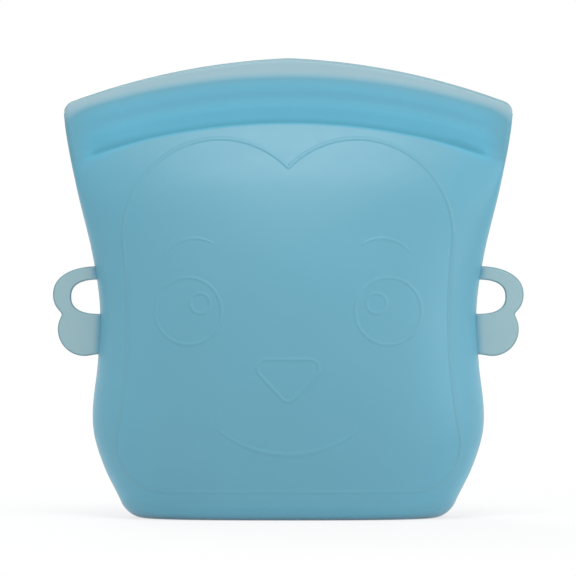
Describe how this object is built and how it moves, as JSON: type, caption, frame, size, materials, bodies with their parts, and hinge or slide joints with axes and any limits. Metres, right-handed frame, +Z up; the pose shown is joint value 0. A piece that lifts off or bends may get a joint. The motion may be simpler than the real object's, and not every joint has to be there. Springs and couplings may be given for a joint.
{
  "type": "reusable silicone bag",
  "caption": "Stand-up silicone snack bag with a press-to-close zip along its arched mouth, a flat moulded foot, a finger loop on each side and a plain animal face in low relief.",
  "frame": {"origin": "on the floor under the middle of the foot", "axes": "+Z up, the face towards -Y, the ears along X"},
  "size_m": [0.157, 0.0607, 0.153],
  "materials": {
    "silicone_wall": "matte translucent blue silicone",
    "silicone_band": "matte translucent blue silicone, doubled and deeper in colour",
    "silicone_thin": "matte translucent blue silicone, thin and paler"
  },
  "bodies": {
    "pouch": {"foot": "silicone_wall", "front_wall_lower": "silicone_wall", "rear_wall_lower": "silicone_wall", "left_side_seam": "silicone_wall", "right_side_seam": "silicone_wall", "left_zip_end": "silicone_thin", "right_zip_end": "silicone_thin", "face_outline_lower": "silicone_wall", "nose": "silicone_wall", "mouth": "silicone_wall"},
    "front_lip": {"front_wall_upper": "silicone_wall", "front_zip_band": "silicone_band", "front_pull_flange": "silicone_thin", "zip_tongue": "silicone_band", "face_outline_upper": "silicone_wall", "brows": "silicone_wall", "eyes": "silicone_wall"},
    "rear_lip": {"rear_wall_upper": "silicone_wall", "rear_zip_band": "silicone_band", "rear_pull_flange": "silicone_thin", "zip_rail_lower": "silicone_band", "zip_rail_upper": "silicone_band", "zip_seal_rib": "silicone_band"},
    "left_ear": {"left_ear_loop": "silicone_thin"},
    "right_ear": {"right_ear_loop": "silicone_thin"}
  },
  "joints": [
    {"name": "front_lip_open", "type": "hinge", "parent": "pouch", "child": "front_lip", "pos_m": [0, -0.03015, 0.056], "axis": [1, 0, 0], "range_deg": [0, 20]},
    {"name": "rear_lip_open", "type": "hinge", "parent": "pouch", "child": "rear_lip", "pos_m": [0, 0.03015, 0.056], "axis": [-1, 0, 0], "range_deg": [0, 20]},
    {"name": "left_ear_flex", "type": "hinge", "parent": "pouch", "child": "left_ear", "pos_m": [-0.0663, 0, 0.0687], "axis": [0, 0, 1], "range_deg": [-70, 70], "stiffness_Nm_per_rad": 0.001},
    {"name": "right_ear_flex", "type": "hinge", "parent": "pouch", "child": "right_ear", "pos_m": [0.0663, 0, 0.0687], "axis": [0, 0, 1], "range_deg": [-70, 70], "stiffness_Nm_per_rad": 0.001}
  ]
}
